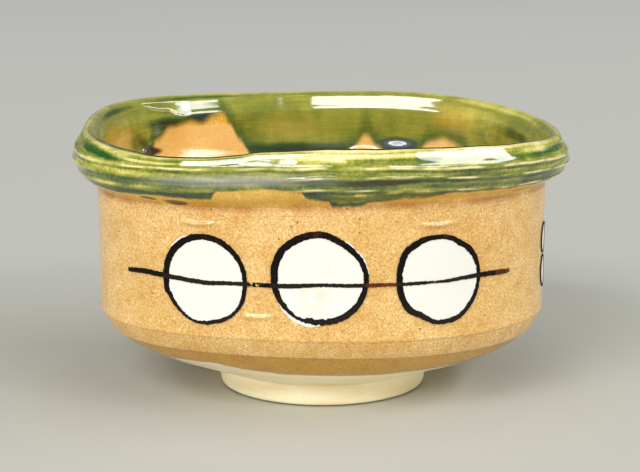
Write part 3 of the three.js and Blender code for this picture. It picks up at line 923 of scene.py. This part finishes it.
# The slip roundels: discs of thick white slip laid on the wall, three on the front and two small ones on
# the right end. Places on the wall are [along, height]: millimetres along it from the middle of the
# front, and up. Each outline lists [degrees, share of the full size], each stroke [degrees, width].
ROUNDELS = [
    dict(
        side="left", along=-30.9, height=39.2, half_width=11.5, half_height=12, rough_foot=0.5,
        outline=[
            (0, 1), (40, 0.987), (90, 1), (140, 1.017), (180, 1), (198, 1.01), (203, 0.965), (220, 0.952),
            (270, 1), (320, 1.03), (360, 1),
        ],
        stroke=[
            (0, 1.2), (90, 1.5), (135, 1.8), (180, 1.7), (225, 1), (255, 0.7), (285, 1.2), (315, 0.9),
            (360, 1.2),
        ],
        spill=[(0, 0), (108, 0), (118, 0.35), (134, 0.35), (145, 0), (360, 0)],
    ),
    dict(
        side="middle", along=-0.7, height=40.4, half_width=12.6, half_height=12.2, rough_foot=2.5,
        outline=[
            (0, 1), (20, 0.973), (40, 0.935), (60, 0.931), (90, 1), (120, 1.016), (140, 1.042),
            (160, 1.025), (180, 1), (220, 0.989), (270, 1), (300, 1.018), (320, 1.026), (360, 1),
        ],
        stroke=[
            (0, 1.35), (90, 1.7), (135, 1.9), (180, 1.85), (215, 1.3), (240, 0.8), (265, 1.6), (315, 1.65),
            (360, 1.35),
        ],
        spill=[
            (0, 0), (10, 0.25), (52, 0.3), (62, 0), (210, 0), (224, 0.4), (240, 0.85), (256, 0.8), (272, 0),
            (360, 0),
        ],
    ),
    dict(
        side="right", along=31.4, height=39, half_width=12.2, half_height=11.6, rough_foot=0,
        outline=[
            (0, 1), (40, 0.991), (60, 0.96), (90, 1), (120, 1.069), (140, 1.109), (160, 1.039), (180, 1),
            (220, 1.025), (240, 0.963), (270, 1), (300, 1.035), (320, 1.025), (360, 1),
        ],
        stroke=[
            (0, 1.1), (45, 1.6), (90, 1.2), (135, 1.7), (180, 1.6), (225, 1.7), (270, 1.1), (315, 1.3),
            (360, 1.1),
        ],
        spill=[(0, 0), (360, 0)],
    ),
]
SIDE_ROUNDELS = [
    dict(
        side=side, along=78.5, height=height, half_width=3.6, half_height=4.2, rough_foot=0,
        outline=[(0, 1), (360, 1)], stroke=[(0, 0.5), (360, 0.5)], spill=[(0, 0), (360, 0)],
    )
    for side, height in (("upper", 42.8), ("lower", 33.8))
]
SLIP_THICKNESS = 0.2
SLIP_UNEVEN = 0.25
ARC_STEPS = 720

# How far along the wall each step of the angle lies, from the middle of the front to the right and left
wall_arcs = {1: [0], -1: [0]}
for way, arcs in wall_arcs.items():
    for step in range(ARC_STEPS):
        start = press(THROWN_WALL_RADIUS, -math.pi / 2 + way * math.pi * step / ARC_STEPS, 0)
        end = press(THROWN_WALL_RADIUS, -math.pi / 2 + way * math.pi * (step + 1) / ARC_STEPS, 0)
        arcs.append(arcs[-1] + (end - start).length / MM)


def angle_at(along):
    """The angle round the bowl at a distance along the wall from the middle of the front."""
    way = 1 if along >= 0 else -1
    arcs = wall_arcs[way]
    step = max(1, next(index for index, arc in enumerate(arcs) if arc >= abs(along)))
    share = (abs(along) - arcs[step - 1]) / (arcs[step] - arcs[step - 1])
    return -math.pi / 2 + way * math.pi * (step - 1 + share) / ARC_STEPS


def wall_radius(height):
    for low, high in zip(wall_run, wall_run[1:]):
        if height <= high.y:
            return low.x + (high.x - low.x) * (height - low.y) / (high.y - low.y)
    return wall_run[-1].x


def on_wall(along, height, lift):
    angle = angle_at(along)
    radius = wall_radius(height)
    sideways = press(radius, angle + 0.01, height) - press(radius, angle - 0.01, height)
    outward = sideways.cross(Vector((0, 0, 1))).normalized()
    return press(radius, angle, height) + outward * lift * MM


def flat_body(columns, rows, place, note_names=(), notes_at=None, loop=False):
    """A thin body on the wall: a grid from -1 to 1 both ways with a copy above it, closed at the sides.
    Place puts each point on the wall, the grid's at level 0 and the copy's at level 1. A loop's ends
    meet instead of being closed."""
    mesh = bmesh.new()
    layers = [mesh.verts.layers.float.new(name) for name in note_names]
    bmesh.ops.create_grid(mesh, x_segments=columns, y_segments=rows, size=1)
    copied = bmesh.ops.extrude_face_region(mesh, geom=mesh.faces[:])["geom"]
    upper = [item for item in copied if isinstance(item, bmesh.types.BMVert)]
    bmesh.ops.translate(mesh, verts=upper, vec=(0, 0, 1))
    if loop:
        ends = [face for face in mesh.faces if all(abs(point.co.x) > 1 - 1e-4 for point in face.verts)]
        bmesh.ops.delete(mesh, geom=ends, context="FACES_ONLY")
    for point in mesh.verts:
        x, y, level = point.co
        if notes_at:
            for layer, value in zip(layers, notes_at(x, y)):
                point[layer] = value
        point.co = place(x, y, level)
    bmesh.ops.remove_doubles(mesh, verts=mesh.verts, dist=1e-6)
    smooth_faces(mesh)
    return mesh


def roundel_place(roundel, turn, inset, share, lift):
    """A point of a roundel: a share of the way from its middle to its edge less an inset."""
    size = follow(roundel["outline"], turn)
    across = share * (roundel["half_width"] * size - inset) * math.cos(math.radians(turn))
    up = share * (roundel["half_height"] * size - inset) * math.sin(math.radians(turn))
    return on_wall(roundel["along"] + across, roundel["height"] + up, lift)


def slip_disc(roundel):
    """The slip reaches the middle of the stroke round it, or spills past it where the list says so."""
    def place(x, y, level):
        turn = math.degrees(math.atan2(y, x)) % 360
        spill = follow(roundel["spill"], turn)
        inset = 0.5 * follow(roundel["stroke"], turn)
        if spill > 0:
            inset = SLIP_UNEVEN * noise.noise((x * 4, y * 4, roundel["along"])) - spill
        return roundel_place(roundel, turn, inset, max(abs(x), abs(y)), level * SLIP_THICKNESS)

    return flat_body(40, 40, place)


white_slip, slip_tree, slip_shader = new_material("white_slip", 0.25)
slip_place = object_place(slip_tree)
creamy = between(slip_tree, noise_at(slip_tree, slip_place, 130, 4), 0.62, 0.8)
slip_tone = mix_colours(slip_tree, creamy, srgb(229, 227, 218), srgb(232, 218, 190))
slip_tree.links.new(slip_tone, slip_shader.inputs["Base Color"])

for name, node, roundels in (
    ("slip_disc", "slip_roundel", ROUNDELS), ("small_slip_disc", "side_roundel", SIDE_ROUNDELS),
):
    for roundel in roundels:
        side = roundel["side"]
        mesh_piece(f"{name}_{side}", slip_disc(roundel), f"{node}_{side}", white_slip)

# The rings: each roundel is edged with one stroke of iron, brushed by hand, so its width swells and
# thins and its edges are ragged. Iron is charcoal where it lies thick and rust where the brush was dry.
CHARCOAL = srgb(11, 6, 4)
ASH = srgb(30, 23, 19)
BRUSHED_RUST = srgb(96, 46, 16)
BARE_WALL = srgb(234, 188, 116)
STROKE_NOTES = ("dryness", "rust", "over_slip")
STROKE_THICKNESS = 0.3
RAGGED = 0.2
# Each ring was begun and ended near its foot, where its edge is rougher, and is rusty near its top
FOOT_TURN = 262
ROUGH_REACH = 30
TOP_TURN = 80
RUSTY_REACH = 60
TOP_RUST = 0.25

iron_brown, iron_tree, iron_shader = new_material("iron_brown", 0.45, IOR=1.25)
iron_place = object_place(iron_tree)
blotchy = calculate(iron_tree, "ADD", noise_at(iron_tree, iron_place, 420, 4), note(iron_tree, "rust"))
skipping = calculate(iron_tree, "ADD", noise_at(iron_tree, iron_place, 1500, 3), note(iron_tree, "dryness"))
wet_tone = mix_colours(iron_tree, note(iron_tree, "over_slip"), CHARCOAL, ASH)
iron_tone = mix_colours(iron_tree, between(iron_tree, blotchy, 0.7, 1.1), wet_tone, BRUSHED_RUST)
gap_tone = mix_colours(iron_tree, between(iron_tree, skipping, 0.98, 1.08), iron_tone, BARE_WALL)
iron_tree.links.new(gap_tone, iron_shader.inputs["Base Color"])


def brushed_ring(roundel):
    def place(x, y, level):
        turn = 180 * (x + 1) % 360
        around = Vector((3 * math.cos(math.pi * x) + roundel["along"], 3 * math.sin(math.pi * x), 2 * y))
        width = follow(roundel["stroke"], turn)
        edge = RAGGED * noise.noise(around * 4) + 0.7 * RAGGED * noise.noise(around * 14)
        edge *= 1 + roundel["rough_foot"] * (1 - smooth_step(0, ROUGH_REACH, abs(turn - FOOT_TURN)))
        inset = width / 2 * (1 - y) + edge * abs(y)
        return roundel_place(roundel, turn, inset, 1, level * STROKE_THICKNESS)

    def notes_at(x, y):
        turn = 180 * (x + 1) % 360
        rust = TOP_RUST * (1 - smooth_step(0, RUSTY_REACH, abs(turn - TOP_TURN)))
        return 0, rust, smooth_step(0, 60, turn - 180) * (1 - smooth_step(300, 360, turn))

    return flat_body(240, 6, place, STROKE_NOTES, notes_at, loop=True)


for name, node, roundels in (
    ("brushed_ring", "iron_ring", ROUNDELS), ("small_brushed_ring", "side_ring", SIDE_ROUNDELS),
):
    for roundel in roundels:
        side = roundel["side"]
        mesh_piece(f"{name}_{side}", brushed_ring(roundel), f"{node}_{side}", iron_brown)

# The line: one stroke of the same iron, brushed across the wall and over all three roundels, like a
# skewer. Its lists say [along, value] for its height, width, dryness and rust, from left to right.
LINE_HEIGHTS = [
    (-54.4, 39.6), (-48, 39.9), (-43, 39.6), (-38, 39.2), (-34, 38.8), (-29.5, 38.5), (-25, 38.7),
    (-9, 38.4), (0, 38.7), (7.5, 38.5), (24, 38.4), (33, 38.3), (38, 38.6), (43, 38.7),
    (54.7, 38.3),
]
LINE_WIDTHS = [
    (-54.4, 1.1), (-48, 1.3), (-34, 1.2), (-20, 1), (-8, 1.2), (0, 0.9), (10, 1), (19, 0.8),
    (25, 0.9), (30, 0.6), (34, 0.9), (43, 1.2), (50, 1.3), (54.7, 1),
]
LINE_DRYNESS = [
    (-54.4, 0), (-20.5, 0.1), (-19, 0.43), (-15.5, 0.42), (-14, 0), (30, 0), (51, 0.1), (54.7, 0.4),
]
LINE_RUST = [
    (-54.4, 0), (10, 0), (12.5, 0.55), (18, 0.62), (20, 0.1), (27, 0), (30, 0.5), (32, 0.1),
    (44, 0), (50, 0.35), (54.7, 0.6),
]
LINE_THICKNESS = 0.36
BLUNT_FROM = 0.99


def line_along(x):
    return LINE_HEIGHTS[0][0] + (LINE_HEIGHTS[-1][0] - LINE_HEIGHTS[0][0]) * (x + 1) / 2


def line_place(x, y, level):
    along = line_along(x)
    tip = max(0, abs(x) - BLUNT_FROM) / (1 - BLUNT_FROM)
    blunt = math.sqrt(max(0, 1 - tip ** 2))
    edge = RAGGED * noise.noise((along * 1.5, y * 2, 0)) + 0.5 * RAGGED * noise.noise((along * 5, y * 2, 5))
    across = y * blunt * (follow(LINE_WIDTHS, along) / 2 + edge)
    return on_wall(along, follow(LINE_HEIGHTS, along) + across, level * LINE_THICKNESS)


def line_notes(x, y):
    along = line_along(x)
    over = any(abs(along - roundel["along"]) < roundel["half_width"] for roundel in ROUNDELS)
    return follow(LINE_DRYNESS, along), follow(LINE_RUST, along), float(over)


line_mesh = flat_body(400, 6, line_place, STROKE_NOTES, line_notes)
mesh_piece("brushed_skewer_line", line_mesh, "iron_skewer_line", iron_brown)

# A pale table, lighter towards the back as painted light where less light reaches the far floor. Four wide,
# low light boxes in front of the bowl and above it show in the gloss, and three softer ones only fill the
# shadows.
floor_mesh = bmesh.new()
bmesh.ops.create_grid(floor_mesh, x_segments=1, y_segments=1, size=4)
floor_data = bpy.data.meshes.new("floor")
floor_mesh.to_mesh(floor_data)
floor_mesh.free()
floor = bpy.data.objects.new("floor", floor_data)
bpy.context.scene.collection.objects.link(floor)
floor_paint, floor_tree, floor_shader = new_material("floor_paint", 0.7)
# The table's colour is painted lighter towards the back: painted light
floor_way = add_node(floor_tree, "ShaderNodeSeparateXYZ", {0: object_place(floor_tree)}).outputs["Y"]
painted_light_share = between(floor_tree, floor_way, -0.1, 1.1)
floor_tone_with_painted_light = mix_colours(floor_tree, painted_light_share, srgb(190, 190, 182), srgb(204, 204, 200))
floor_tree.links.new(floor_tone_with_painted_light, floor_shader.inputs["Base Color"])
floor_data.materials.append(floor_paint)

world = bpy.data.worlds.new("studio")
world.use_nodes = True
world.node_tree.nodes["Background"].inputs["Color"].default_value = srgb(196, 198, 194)
world.node_tree.nodes["Background"].inputs["Strength"].default_value = 0.4
bpy.context.scene.world = world

LIGHT_DISTANCE = 4.0


def softbox(name, right_of_front, up, half_width, half_height, brightness, shows_in_gloss=True):
    """A light box far off towards the bowl: its direction and half sizes are in degrees as the bowl
    sees them."""
    turn = math.radians(right_of_front)
    rise = math.radians(up)
    data = bpy.data.lights.new(name, "AREA")
    data.shape = "RECTANGLE"
    data.size = 2 * LIGHT_DISTANCE * math.tan(math.radians(half_width))
    data.size_y = 2 * LIGHT_DISTANCE * math.tan(math.radians(half_height))
    data.energy = brightness * math.pi * data.size * data.size_y
    way = Vector((math.sin(turn) * math.cos(rise), -math.cos(turn) * math.cos(rise), math.sin(rise)))
    lamp = bpy.data.objects.new(name, data)
    lamp.location = LIGHT_DISTANCE * way
    lamp.rotation_euler = way.to_track_quat("Z", "Y").to_euler()
    lamp.visible_glossy = shows_in_gloss
    bpy.context.scene.collection.objects.link(lamp)


softbox("lower_box_left", -21.8, 33, 20.2, 3.4, 11.8)
softbox("lower_box_right", 39, 33, 14, 3.4, 10.5)
softbox("upper_box_left", -30, 41.5, 14.5, 3.4, 13)
softbox("upper_box_right", 74.5, 41.5, 25, 3.4, 9)
softbox("low_left_box", -58, 10, 32, 9, 3.5, shows_in_gloss=False)
softbox("low_right_box", 60, 10, 32, 9, 2, shows_in_gloss=False)
softbox("top_box", 0, 80, 35, 25, 0.65, shows_in_gloss=False)

bpy.context.scene.view_settings.view_transform = "Standard"
